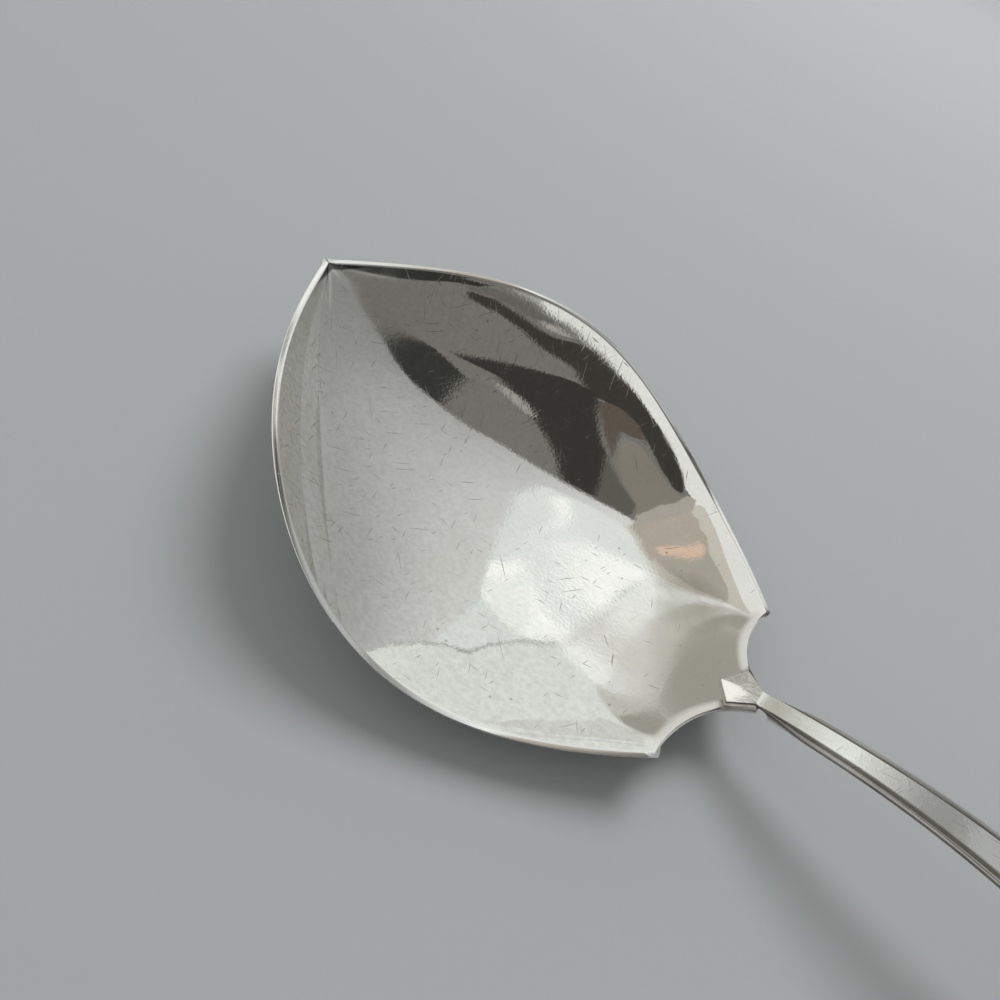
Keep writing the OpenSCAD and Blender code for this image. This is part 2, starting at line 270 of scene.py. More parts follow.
def bowl_rows():
    sides = curve(side, FIRST_ROW + (1 - FIRST_ROW) * np.linspace(0, 1, SIDE_ROWS) ** 1.3)
    q = np.linspace(0, 1, NOTCH_ROWS + 1)[1:]
    k = np.linspace(0, 1, TONGUE_ROWS + 1)[1:]
    edge = np.concatenate([sides, curve(notch, q), curve(tongue, k)])
    lag = LAG * np.maximum(0, (sides[:, 0] / LEAF - LAG_FROM) / (1 - LAG_FROM)) ** 2
    behind = waist_x - TONGUE_LAG
    middle = np.concatenate([sides[:, 0] - lag, mix(LEAF - LAG, behind, q), mix(behind, tongue_x, k)])
    along_tongue = mix(LAND_TURN, 1, np.clip(k * 4 / 3, 0, 1))
    land = np.concatenate([np.full(SIDE_ROWS + NOTCH_ROWS, LAND_TURN), along_tongue])
    return edge, middle, land


def sheet_points(edge, middle, s):
    x = middle[:, None] + (edge[:, :1] - middle[:, None]) * s**2
    y = edge[:, 1:] * s
    return np.stack([x, y, dish(x, y)], -1), upward(x, y)


edge, middle, land = bowl_rows()
row = np.arange(len(edge))
print(len(edge), "rows from the tip to the tongue")

# %% Upper face
EDGE_ROUND, ACROSS = 0.13, 57
round_r = np.minimum(EDGE_ROUND, 0.25 * edge[:, 1])
s_in = 1 - (round_r / edge[:, 1])[:, None]
upper, _ = sheet_points(edge, middle, s_in * (1 - (1 - np.linspace(0, 1, ACROSS)) ** 1.6))
corner, corner_up = (v[:, 0] for v in sheet_points(edge, middle, np.ones((len(edge), 1))))
print("the upper face has", upper.shape[0], "rows of", upper.shape[1], "points")

# %% [markdown]
# The sheet is 1 mm thick in the middle and thins to the rim, which was filed to a narrow land that tips
# inwards a little. In the notches the land is narrower and square to the outline. Tiny rounds on both
# sides of the land catch the light, as the thin bright line along the real rim does.

# %% Rim land
RIM_T, NOTCH_LAND, TONGUE_LAND = 0.6, 0.35, 0.15
LAND_LEAN, LOW_LEAN, NOTCH_LEAN = 0.12, 0.2, 0.1
low_side = ease((row / SIDE_ROWS - 0.70) / 0.12)
past_shoulder = row - SIDE_ROWS
in_notch = ease(past_shoulder / 6)
on_tongue = ease((past_shoulder - 36) / 16)
inwards = corner_up * np.stack([land, land * ease(edge[:, 1] / 0.5), np.ones_like(land)], -1)
leaning = np.maximum(ease((land - 1) / (LAND_TURN - 1)) * ease(edge[:, 1] / 2.0), low_side)
drop = mix(LAND_LEAN, LOW_LEAN, low_side) * np.linalg.norm(inwards[:, :2], axis=1)
inwards[:, 2] = mix(inwards[:, 2], -drop, leaning)
run_on = np.gradient(edge, axis=0)
aside = np.stack([run_on[:, 1], -run_on[:, 0], NOTCH_LEAN * np.hypot(*run_on.T)], -1)
inwards = unit(mix(unit(inwards), unit(aside), in_notch[:, None]))
land_width = RIM_T * mix(1, NOTCH_LAND, in_notch) * mix(1, TONGUE_LAND, on_tongue)
outer = corner - land_width[:, None] * inwards
print("land width from", round(float(land_width.max()), 2), "to", round(float(land_width.min()), 2), "mm")

# %% Back face and mesh
SHEET_T, OUTER_ROUND, BACK_COUNT = 1.0, 0.16, 30
INNER_STEPS, OUTER_STEPS = 5, 6
s_back = np.linspace(0.955, 0, BACK_COUNT)[None, :] * np.ones((len(edge), 1))
back_face, back_up = sheet_points(edge, middle, s_back)
back_face = back_face - (SHEET_T + (RIM_T - SHEET_T) * s_back**4)[..., None] * back_up
inner_round = soften(upper[:, -2], corner, outer, round_r[:, None], INNER_STEPS)
outer_r = np.minimum(OUTER_ROUND, 2 * round_r)
outer_round = soften(corner, outer, back_face[:, 0], outer_r[:, None], OUTER_STEPS)
bowl_half = np.concatenate([upper[:, :-1], inner_round, outer_round, back_face], 1)
bowl = loft("bowl_leaf", tipped(bowl_half) + move, 50)
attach(bowl, "root")
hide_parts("bowl")

# %% [markdown]
# Polish and tarnish follow the shape. Wear keeps the rim and a band along each notch bright. The crevice
# where the tongue meets the pad is darkened, and just inside the rim at the tip a dark reflection is painted
# into the colour. Each of these is painted on the points as a number from 0 to 1, because the mesh knows
# where its rows are, and a noise does not.

# %% Marks on the bowl
rim_first, rim_last = ACROSS - 1, ACROSS - 1 + INNER_STEPS + OUTER_STEPS
on_rim, by_notch, in_crevice, painted_tip_reflection = (np.zeros(bowl_half.shape[:2]) for _ in range(4))
on_rim[:, rim_first:rim_last] = 1
to_notch = np.linalg.norm(upper[:, :, None, :2] - curve(notch, np.linspace(0, 1, 60)), axis=-1).min(-1)
by_notch[:, :ACROSS] = ease(1.25 - to_notch / 0.9)
in_crevice[:, ACROSS // 2 + 2:rim_last] = ease((past_shoulder - 43) / 6)[:, None]
from_tip = np.linalg.norm(upper[:, -1] - upper[0, -1], axis=-1)[:, None]
from_edge = np.linalg.norm(upper - upper[:, -1:], axis=-1)
# Painted dark reflection just inside the rim at the tip.
painted_tip_reflection[:, :ACROSS] = ease((1.2 * (1 - from_tip / 4.8) - from_edge) / 0.3 + 0.5)
for mark, halves in (("rim", on_rim), ("worn", by_notch), ("crevice", in_crevice), ("painted_tip_dark", painted_tip_reflection)):
    paint(bowl, mark, halves)

# %% [markdown]
# ## The handle
# The handle was struck between dies: a flat panel with a groove and a raised thread along each edge, a
# bevelled back, and at the front a small five-sided pad that laps onto the neck. The pad has a plain half
# section and the stem a threaded one. Both kinds have the same number of points, so that they can be
# joined into one skin.

# %% Plain half section
TOP, DIP, BEAD, BACK = 8, 9, 9, 9
ARRIS = 0.07
across_top = np.linspace(0, 1, TOP)


def plain_half(half_width, valley, depth):
    top = np.stack([across_top * (half_width - ARRIS), valley * across_top], -1)
    drop = np.linspace(ARRIS, depth + valley, DIP + BEAD)
    wall = np.stack([np.full(DIP + BEAD, half_width), valley - drop], -1)
    under = np.stack([np.linspace(half_width * 0.95, 0, BACK), np.full(BACK, -depth)], -1)
    return np.concatenate([top, wall, under])


print("points in a plain half section:", len(plain_half(1, 0, 1)))

# %% Threaded half section
GROOVE, THREAD = 0.32, 0.45


def belly_half(half_width, depth, side_edge, knee, share):
    low = -mix(side_edge, depth, knee[1])
    corners = np.array([[half_width, -side_edge], [knee[0] * half_width, low], [share * half_width, -depth]])
    t = np.linspace(0, 1, BACK - 1)
    straight = np.stack([np.interp(t, [0, 0.5, 1], corners[:, i]) for i in (0, 1)], -1)
    t = t[:, None]
    rounded = (1 - t) ** 2 * corners[0] + 2 * t * (1 - t) * corners[1] + t * t * corners[2]
    return np.concatenate([mix(rounded, straight, 0.6), [[0, -depth]]])


def threaded_half(panel, strength, grow, depth, side_edge, knee, share):
    groove_end = panel + strength * GROOVE * grow
    half_width = groove_end + strength * THREAD * grow
    top = np.stack([across_top * (panel - 0.03), 0 * across_top], -1)
    a = np.linspace(0, 1, DIP)
    dip = np.stack([mix(panel, groove_end, a), -0.3 * strength * np.sin(np.pi * a) ** 0.6 - 0.08 * a], -1)
    b = np.linspace(0, np.pi, BEAD)
    crest_line = -0.20 + 0.12 * np.sin(b) - 0.10 * (b / np.pi)
    bead = np.stack([mix(groove_end, half_width, (1 - np.cos(b)) / 2), crest_line], -1)
    return np.concatenate([top, dip, bead, belly_half(half_width, depth, side_edge, knee, share)])


print("points in a threaded half section:", len(threaded_half(1, 1, 1, 2, 0.4, (0.62, 0.5), 0.2)))

# %% [markdown]
# The stem climbs away from the pad, arches over and comes down again to a flat foot, growing wider and
# thinner towards its pointed end. Two curves give that line, and each station gets a place, a slope and
# a section. The thread grows out of the pad over the first 5 mm.

# %% Line of the handle
LAP_GAP, FOOT_LIFT, CLIMB = 0.12, 1.5, 26.3
lap_end = (tongue_x - neck_x) / math.cos(math.radians(NECK_SLOPE)) + LAP_GAP
lap_top = over_neck(lap_end, 0, pad_top(PAD_LENGTH))[[0, 2]]
foot = np.array([end_x - FOOT, FOOT_LIFT - move[2]])
fall_run = foot[0] - crest[0]
arch = [lap_top, lap_top + polar(CREST_RUN * 0.45, CLIMB - REST_TILT), crest - (CREST_RUN * 0.36, 0), crest]
fall = [crest, crest + (fall_run * 0.42, 0), foot - (fall_run * 0.40, 0), foot]


def slope_of(points, t):
    a, b = curve(points, [t - 1e-3, t + 1e-3])
    return math.atan2(*(b - a)[::-1])


def placed(place, angle, half):
    y, h = half.T
    return np.stack([place[0] - h * math.sin(angle), y, place[1] + h * math.cos(angle)], -1)


print("the arch climbs", round(float(crest[1] - lap_top[1]), 2), "mm")

# %% Stem and pad sections
POINT, THREAD_RUN = 10, 5


def stem_half(x):
    run = min(1, max(0, (x - arris[0]) / (HANDLE - POINT)))
    grow = mix(1, 1.7, run)
    border = (GROOVE + THREAD) * grow
    width = mix(0.9, 5.4, run**1.6) + border
    width = mix(width, 0.35, max(0, (x - end_x + POINT) / POINT) ** 1.7)
    depth = mix(2.0, 1.5, min(1, max(0, (x - arris[0]) / (HANDLE - FOOT))))
    strength = min(1, max(0.05, (width - 0.1) / border)) * mix(0.15, 1, ease((x - lap_top[0]) / THREAD_RUN))
    knee = (mix(0.62, 0.92, run), mix(0.5, 0.6, run))
    side_edge, share = mix(0.4, 0.8, run), mix(0.2, 0.78, run)
    return threaded_half(max(0.1, width - border), strength, grow, depth, side_edge, knee, share)


def pad_station(along, half_width, valley, above):
    place = over_neck(along, 0, above)[[0, 2]]
    half = plain_half(half_width, valley, above - SOLDER_T)
    return placed(place, math.radians(NECK_SLOPE - REST_TILT), half)


def stem_station(points, t):
    place = curve(points, t)
    return placed(place, slope_of(points, t), stem_half(place[0]))


print("the stem is", round(float(np.ptp(stem_half(crest[0])[:, 1])), 2), "mm thick at its crest")

# %% Handle mesh
WIDE_ALONG, WIDE, STEM_HALF, PAD_TIP = 1.6, 2.45, 0.9, 0.18
PAD_EDGE = SOLDER_T + 0.13
pad_back = pad_top(PAD_LENGTH) + 0.05
pad = [pad_station(0, PAD_TIP, 0, PAD_EDGE),
       pad_station(WIDE_ALONG, WIDE, 0.16, mix(PAD_EDGE, pad_back, 0.42)),
       pad_station(PAD_LENGTH - 0.06, STEM_HALF + 0.03, 0, pad_back),
       pad_station(PAD_LENGTH + 0.06, STEM_HALF, 0, pad_back - 0.01),
       pad_station(lap_end, STEM_HALF, 0, pad_top(PAD_LENGTH))]
stem = [stem_station(arch, t) for t in np.linspace(0.025, 1, 70)]
stem += [stem_station(fall, t) for t in np.linspace(0, 1, 70)[1:]]
foot_x = foot[0] + FOOT * (1 - (1 - np.linspace(0, 1, 34)[1:]) ** 1.5)
stem += [placed((x, foot[1]), 0, stem_half(x)) for x in foot_x]
handle_half = np.array(pad + stem)
handle = loft("handle_stem", handle_half + move, 28)
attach(handle, "root")
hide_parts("handle")

# %% [markdown]
# Polish never reaches the bottom of the grooves, so dark tarnish stays there and draws the thread lines.
# As on the rim, a stored number marks those points: 1 in the groove, a painted dark reflection on the
# thread and the side next to it, less on its crown away from the pad. The walls of the pad are darkened too.

# %% Groove mark
bead_first, bead_last = TOP + DIP, TOP + DIP + BEAD
tarnish_and_painted_dark = np.zeros(handle_half.shape[:2])
tarnish_and_painted_dark[len(pad):, TOP:bead_first] = np.sin(np.pi * np.linspace(0, 1, DIP)) ** 0.4
crown = np.cos(np.pi * np.linspace(-0.5, 0.5, BEAD)) ** 2
crown_less_dark = np.interp(np.arange(len(stem)), [0, 14, 40], [0.1, 0.45, 0.75])[:, None]
# Painted dark reflection on the thread, lighter on its crown away from the pad, and on the side next to it.
tarnish_and_painted_dark[len(pad):, bead_first:bead_last] = 1 - crown_less_dark * crown
tarnish_and_painted_dark[len(pad):, bead_last:bead_last + 3] = 0.9
tarnish_and_painted_dark[:len(pad), TOP + 3:] = 1
paint(handle, "groove", tarnish_and_painted_dark)

# %% [markdown]
# ## The solder
# Pad and neck are joined with a thin film of solder that has run out into a small hollow fillet around
# the pad. It is made as loops that follow the pad's outline: under the pad, up its wall, then down in a
# hollow curve. A slight waver along the loop keeps it from looking machined.

# %% Path of the solder
FILM_STEPS, FILLET_STEPS, FILLET = 120, 6, 0.16
outline = [(0, PAD_TIP), (WIDE_ALONG, WIDE), (PAD_LENGTH, STEM_HALF), (lap_end - 2 * LAP_GAP, STEM_HALF)]
outline = np.array(outline + [(a, -w) for a, w in outline[::-1]])
lengths = np.linalg.norm(np.roll(outline, -1, 0) - outline, axis=1)
steps = np.linspace(0, lengths.sum(), FILM_STEPS, endpoint=False)
knots = np.concatenate([[0], np.cumsum(lengths)])
closed = np.concatenate([outline, outline[:1]])
path = np.stack([np.interp(steps, knots, closed[:, i]) for i in (0, 1)], -1)
ahead = np.roll(path, -1, 0) - np.roll(path, 1, 0)
outward = unit(np.stack([-ahead[:, 1], ahead[:, 0]], -1))
print("solder film length in mm:", round(float(lengths.sum()), 1))

# %% Solder mesh
waver = 0.85 + 0.15 * np.sin(steps * 2.7) * np.cos(steps * 1.3 + 1)
loops = [over_neck(path[:, 0], path[:, 1], SOLDER_T)]
for turn in np.linspace(0, np.pi / 2, FILLET_STEPS):
    spread = path + outward * (FILLET * waver * (1 - math.cos(turn)))[:, None]
    loops.append(over_neck(spread[:, 0], spread[:, 1], (SOLDER_T + FILLET * waver) * (1 - math.sin(turn))))
film = bpy.data.meshes.new("solder_fillet")
film.from_pydata(((np.concatenate(loops) + move) * MM).tolist(), [], ring_faces(len(loops), FILM_STEPS))
film.shade_smooth()
solder = place_piece("solder_fillet", film)
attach(solder, "root")
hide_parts("solder_seam")
print("solder points:", len(film.vertices))

# %% [markdown]
# ## Materials as nodes
# Every finish here is built from a few nodes: a noise, a range, a blend of two colours. Small helpers make
# each of them one short call, so that a material reads like a recipe. A subtraction is clamped between 0
# and 1, so that an amount never turns negative.

# %% Node helpers
def put(tree, kind, sockets=(), **settings):
    made = tree.nodes.new("ShaderNode" + kind)
    for name, value in settings.items():
        setattr(made, name, value)
    for name, value in dict(sockets).items():
        if isinstance(value, bpy.types.NodeSocket):
            tree.links.new(value, made.inputs[name])
        else:
            made.inputs[name].default_value = value
    return made


def math_of(tree, kind, a, b):
    return put(tree, "Math", {0: a, 1: b}, operation=kind, use_clamp=kind == "SUBTRACT").outputs[0]


def times(tree, a, b):
    return math_of(tree, "MULTIPLY", a, b)


def larger(tree, a, b):
    return math_of(tree, "MAXIMUM", a, b)


def ranged(tree, value, a, b, low=0.0, high=1.0):
    sockets = {"Value": value, "From Min": a, "From Max": b, "To Min": low, "To Max": high}
    return put(tree, "MapRange", sockets).outputs[0]


def noise(tree, place, size_mm, detail=3.0, rough=0.55):
    sockets = {"Vector": place, "Scale": 1 / (size_mm * MM), "Detail": detail, "Roughness": rough}
    return put(tree, "TexNoise", sockets).outputs


def stored(tree, mark):
    return put(tree, "Attribute", attribute_name=mark).outputs["Fac"]


def distance(tree, place, spot):
    return put(tree, "VectorMath", {0: place, 1: spot}, operation="DISTANCE").outputs["Value"]


def blend(tree, amount, a, b):
    return put(tree, "Mix", {0: amount, 6: a, 7: (*b, 1)}, data_type="RGBA").outputs[2]


def bump(tree, height, distance_mm, under=None):
    sockets = {"Strength": 1.0, "Distance": distance_mm * MM, "Height": height}
    return put(tree, "Bump", sockets if under is None else {**sockets, "Normal": under}).outputs[0]


print("node helpers ready")

# %% Metal helper
def new_metal(name):
    metal = bpy.data.materials.new(name)
    metal.use_nodes = True
    metal.node_tree.nodes.clear()
    tree = metal.node_tree
    place = put(tree, "TexCoord").outputs["Object"]
    shade = put(tree, "BsdfPrincipled", {"Metallic": 1.0})
    put(tree, "OutputMaterial", {"Surface": shade.outputs[0]})
    return metal, tree, place, shade


def dress(piece, metal, tree, shade, tone, rough, normal):
    for socket, value in (("Base Color", tone), ("Roughness", rough), ("Normal", normal)):
        tree.links.new(value, shade.inputs[socket])
    piece.data.materials.append(metal)
    print(metal.name, "has", len(tree.nodes), "nodes")


FRESH_SILVER = (0.90, 0.89, 0.86, 1)
print("fresh silver reflects", FRESH_SILVER[0], "of red light")

# %% [markdown]
# ## Scratches
# Years of spoons and cloths leave short scratches in every direction. A Voronoi pattern that is stretched
# a lot in one direction turns its round cells into slivers, and keeping only a few random cells gives
# single tapered scratches. Several sets at different angles, slightly bent by noise, look handmade.

# %% Scratch helpers
def scratch_set(tree, place, crowd, degrees, long_mm, thin_mm, share):
    sockets = {"Vector": place, "Rotation": (0, 0, math.radians(degrees)),
               "Location": (degrees * 0.0013, degrees * 0.0007, 0), "Scale": (long_mm * MM, thin_mm * MM, 1)}
    sliver = put(tree, "Mapping", sockets, vector_type="TEXTURE").outputs[0]
    cell = put(tree, "TexVoronoi", {"Vector": sliver, "Scale": 1.0}, voronoi_dimensions="2D").outputs
    chance = put(tree, "SeparateColor", {"Color": cell["Color"]}).outputs[0]
    kept = math_of(tree, "GREATER_THAN", math_of(tree, "ADD", chance, times(tree, crowd, share)), 1.0)
    return times(tree, ranged(tree, cell["Distance"], 0.42, 0.12), kept)


def scratches(tree, place, crowd, sets):
    made = None
    for one in (scratch_set(tree, place, crowd, *numbers) for numbers in sets):
        made = one if made is None else larger(tree, made, one)
    return made


def bent(tree, place, size_mm, by_mm):
    swirl = noise(tree, place, size_mm, 1.0)["Color"]
    sway = put(tree, "VectorMath", {0: swirl, 1: (0.5, 0.5, 0.5)}, operation="SUBTRACT").outputs[0]
    scaled = put(tree, "VectorMath", {0: sway, "Scale": by_mm * MM}, operation="SCALE").outputs[0]
    return put(tree, "VectorMath", {0: place, 1: scaled}, operation="ADD").outputs[0]


BOLD = ((62, 3.6, 0.14, 0.010), (118, 2.2, 0.13, 0.014), (20, 1.6, 0.13, 0.012),
        (84, 1.2, 0.12, 0.018), (146, 4.5, 0.12, 0.007))
FINE = ((33, 6, 0.08, 0.05), (77, 4, 0.07, 0.05), (128, 5, 0.08, 0.05), (165, 3, 0.07, 0.05))
print("scratch sets:", len(BOLD), "bold and", len(FINE), "fine")

# %% [markdown]
# ## Bowl silver
# Old silver is a bright metal with a slightly warm grey cast: mirror-like under a haze of hairlines, with
# dark scratches, a few pits, and soft clouds where tarnish has begun. The reflections come from the
# metal shader itself, apart from a dark reflection painted just inside the rim at the tip; noise only
# varies its colour, roughness and bump. Scratches crowd near the tip and on the left, as on the real piece.

# %% Bowl silver: scratches and pits
bowl_silver, tree, place, shade = new_metal("bowl_silver")
along = put(tree, "SeparateXYZ", {0: place}).outputs
near_tip = ranged(tree, along[0], -0.040, -0.070)
left_side = ranged(tree, along[1], 0.006, -0.014)
patches = ranged(tree, noise(tree, place, 14)[0], 0.42, 0.68)
crowd = math_of(tree, "ADD", times(tree, near_tip, 0.7), times(tree, patches, 0.35))
crowd = math_of(tree, "ADD", crowd, times(tree, left_side, 0.4))
wavy = bent(tree, place, 6, 1.2)
bold, fine = scratches(tree, wavy, crowd, BOLD), scratches(tree, wavy, crowd, FINE)
cell = put(tree, "TexVoronoi", {"Vector": place, "Scale": 1 / (1.3 * MM)}, voronoi_dimensions="3D").outputs
picked = math_of(tree, "GREATER_THAN", put(tree, "SeparateColor", {"Color": cell["Color"]}).outputs[0], 0.88)
pits = times(tree, ranged(tree, cell["Distance"], 0.16, 0.06), picked)
marks = larger(tree, times(tree, bold, 0.6), times(tree, pits, 0.55))
marks = larger(tree, marks, times(tree, fine, 0.12))
print("bowl silver has", len(tree.nodes), "nodes so far")

# %% Bowl silver: clouds and stains
NECK_SPOT, TIP_SPOT = (-0.0175, 0, 0.006), (-0.0780, 0, 0.0107)
clouds = ranged(tree, noise(tree, place, 9, 5.0, 0.62)[0], 0.35, 0.75)
speckle = ranged(tree, noise(tree, place, 0.6, 3.0, 0.65)[0], 0.38, 0.66)
speckle = times(tree, speckle, ranged(tree, larger(tree, near_tip, left_side), 0, 1, 0.12, 0.46))
neck_stain = ranged(tree, distance(tree, place, NECK_SPOT), 0.0140, 0.0080)
neck_stain = times(tree, neck_stain, ranged(tree, clouds, 0, 1, 0.6, 1.0))
tip_blotch = ranged(tree, noise(tree, place, 2.2, 4.0, 0.6)[0], 0.3, 0.6, 0.35, 1.0)
tip_stain = times(tree, ranged(tree, distance(tree, place, TIP_SPOT), 0.0150, 0.0040), tip_blotch)
tone = blend(tree, times(tree, clouds, 0.5), FRESH_SILVER, (0.78, 0.765, 0.725))
tone = blend(tree, speckle, tone, (0.62, 0.61, 0.58))
tone = blend(tree, neck_stain, tone, (0.79, 0.775, 0.73))
tone = blend(tree, times(tree, tip_stain, 0.8), tone, (0.70, 0.69, 0.66))
# Painted dark reflection just inside the rim at the tip.
tone = blend(tree, times(tree, stored(tree, "painted_tip_dark"), 0.9), tone, (0.13, 0.13, 0.12))
print("bowl silver has", len(tree.nodes), "nodes so far")

# %% [markdown]
# Over the stains lie the scratches, then the polished edges, and last two darker places: a patch beside
# one notch, with a ragged border that noise gives it, and the crevice by the pad.

# %% Bowl silver: wear and tarnish
PATCH_SPOT, PATCH_SIDE = (-0.0248, 0.0070, 0.0027), (0.870, 0.492, 0)
rim, worn = stored(tree, "rim"), stored(tree, "worn")
past = put(tree, "VectorMath", {0: place, 1: PATCH_SIDE}, operation="DOT_PRODUCT").outputs["Value"]
ragged = times(tree, math_of(tree, "SUBTRACT", noise(tree, place, 2.6)[0], 0.5), 0.0060)
to_patch = math_of(tree, "ADD", distance(tree, place, PATCH_SPOT), ragged)
patch = times(tree, ranged(tree, past, -0.02176, -0.02110), ranged(tree, to_patch, 0.0050, 0.0022))
tone = blend(tree, marks, tone, (0.20, 0.19, 0.175))
tone = blend(tree, rim, tone, (0.93, 0.92, 0.90))
tone = blend(tree, times(tree, worn, 0.8), tone, (0.93, 0.92, 0.89))
tone = blend(tree, patch, tone, (0.61, 0.595, 0.545))
tone = blend(tree, times(tree, stored(tree, "crevice"), 0.85), tone, (0.13, 0.12, 0.10))
print("bowl silver has", len(tree.nodes), "nodes so far")

# %% Bowl silver: gloss and bumps
grain = ranged(tree, noise(tree, place, 0.35, 2.0)[0], 0.3, 0.7)
rough = ranged(tree, clouds, 0, 1, 0.014, 0.032)
dulled = ((marks, 0.25), (grain, 0.012), (neck_stain, 0.07), (tip_stain, 0.10), (rim, 0.08), (worn, 0.28))
for where, amount in dulled:
    rough = math_of(tree, "ADD", rough, times(tree, where, amount))
cut = math_of(tree, "SUBTRACT", 1.0, larger(tree, bold, times(tree, fine, 0.3)))
waves = bump(tree, noise(tree, place, 8, 1.0)[0], 0.008)
skin = bump(tree, grain, 0.0005, waves)
dress(bowl, bowl_silver, tree, shade, tone, rough, bump(tree, cut, 0.0009, skin))

# %% [markdown]
# ## Handle silver
# The handle is the same metal, polished along its length, with tarnish left in its grooves, a painted dark
# reflection on its threads and a painted grey shade just behind the joint. Noise that is stretched along X
# gives the polishing lines, and the stored groove mark darkens and dulls the grooves, threads and pad walls.

# %% Handle silver: marks
handle_silver, tree, place, shade = new_metal("handle_silver")
joint = tuple(np.array([lap_top[0] + move[0], 0, lap_top[1] + move[2]]) * MM)
combed = put(tree, "Mapping", {"Vector": place, "Scale": (0.06, 1, 1)}).outputs[0]
lines = ranged(tree, noise(tree, combed, 0.22, 2.0)[0], 0.35, 0.7)
clouds = ranged(tree, noise(tree, place, 5, 5.0, 0.6)[0], 0.35, 0.75)
dents = ranged(tree, noise(tree, place, 0.9, 3.0, 0.6)[0], 0.5, 0.75)
nicks = scratches(tree, place, clouds, ((70, 1.6, 0.10, 0.05), (15, 3, 0.09, 0.06)))
groove = stored(tree, "groove")
along_x = put(tree, "SeparateXYZ", {0: place}).outputs[0]
behind_pad = ranged(tree, along_x, joint[0] - 0.0002, joint[0] + 0.0003)
# Painted grey shade on the stem just behind the joint.
painted_shade_behind_joint = times(tree, ranged(tree, distance(tree, place, joint), 0.0062, 0.0022), behind_pad)
print("the joint lies at", [round(float(v) / MM, 2) for v in joint], "mm")

# %% Handle silver: colour and gloss
tone = blend(tree, times(tree, clouds, 0.35), FRESH_SILVER, (0.80, 0.78, 0.73))
tone = blend(tree, times(tree, nicks, 0.5), tone, (0.25, 0.24, 0.22))
# Painted grey shade just behind the joint.
tone = blend(tree, times(tree, painted_shade_behind_joint, 0.8), tone, (0.56, 0.545, 0.49))
# Tarnish in the grooves, and a painted dark reflection on the threads beside them.
tone = blend(tree, times(tree, groove, ranged(tree, clouds, 0, 1, 0.75, 1.0)), tone, (0.12, 0.105, 0.09))
rough = math_of(tree, "ADD", ranged(tree, lines, 0, 1, 0.10, 0.17), times(tree, groove, 0.3))
dress(handle, handle_silver, tree, shade, tone, rough, bump(tree, lines, 0.0015, bump(tree, dents, 0.008)))

# %% [markdown]
# ## Solder
# Solder has less silver in it, so it is greyer and duller than the sheet, and it never gets a polish. A
# mottled roughness and a grainy bump are enough at this size.

# %% Solder material
solder_grey, tree, place, shade = new_metal("solder_grey")
mottle = noise(tree, place, 0.4, 3.0)[0]
tone = blend(tree, ranged(tree, mottle, 0.35, 0.65), (0.74, 0.72, 0.67, 1), (0.58, 0.55, 0.50))
rough = ranged(tree, mottle, 0.3, 0.7, 0.28, 0.42)
dress(solder, solder_grey, tree, shade, tone, rough, bump(tree, mottle, 0.01))

# %% [markdown]
# ## Floor and room
# A mirror is only as good as what it shows. The floor is plain and pale; the room around is a soft grey
# that is brightest beyond the tip of the bowl. Its brightness follows one direction, so a colour ramp on
# the X part of the direction is all it needs.

# %% Floor
FLOOR_DROP, FLOOR_HALF = 0.05 * MM, 3
bpy.context.scene.view_settings.view_transform = "Standard"
quarters = ((-1, -1), (1, -1), (1, 1), (-1, 1))
floor_corners = [(x * FLOOR_HALF, y * FLOOR_HALF, -FLOOR_DROP) for x, y in quarters]
floor_mesh = bpy.data.meshes.new("floor")
floor_mesh.from_pydata(floor_corners, [], [(0, 1, 2, 3)])
place_piece("floor", floor_mesh)
floor_pale = bpy.data.materials.new("floor_pale")
floor_pale.use_nodes = True
floor_shade = floor_pale.node_tree.nodes["Principled BSDF"]
floor_shade.inputs["Base Color"].default_value = (0.35, 0.36, 0.365, 1)
floor_shade.inputs["Roughness"].default_value = 0.9
floor_mesh.materials.append(floor_pale)
print("floor is", 2 * FLOOR_HALF, "m wide")

# %% Room
ROOM_LEVELS = ((0, 0.74), (1, 0.42), (0.35, 0.8), (0.435, 0.7), (0.46, 0.6),
               (0.485, 0.475), (0.515, 0.335), (0.56, 0.3), (0.625, 0.34))
world = bpy.data.worlds.new("room")
bpy.context.scene.world = world
world.use_nodes = True
tree = world.node_tree
tree.nodes.clear()
sideways = put(tree, "SeparateXYZ", {0: put(tree, "TexCoord").outputs["Generated"]}).outputs[0]
ramp = put(tree, "ValToRGB", {0: ranged(tree, sideways, -1, 1)})
for i, (spot, level) in enumerate(ROOM_LEVELS):
    stop = ramp.color_ramp.elements[i] if i < 2 else ramp.color_ramp.elements.new(spot)
    stop.position = spot
    stop.color = (level * 0.985, level, level * 0.985, 1)
background = put(tree, "Background", {0: ramp.outputs[0], 1: 1.0})
put(tree, "OutputWorld", {0: background.outputs[0]})
print("room levels:", [level for _, level in ROOM_LEVELS])

# %% [markdown]
# ## Cards
# Silver is lit by what it mirrors, so a studio hangs pale and dark cards around it. Each card here is a
# patch of a far dome. It is given by its distance in metres, its colour, the angle over which its border
# fades out, and its corners as angles from straight up: to +X and to +Y. Little in a real room ends as
# sharply as a polygon, hence the soft borders. Nearer cards cover farther ones, and all of them are seen
# only in reflections.

# %% Card mesh
CARD_CUTS = 5


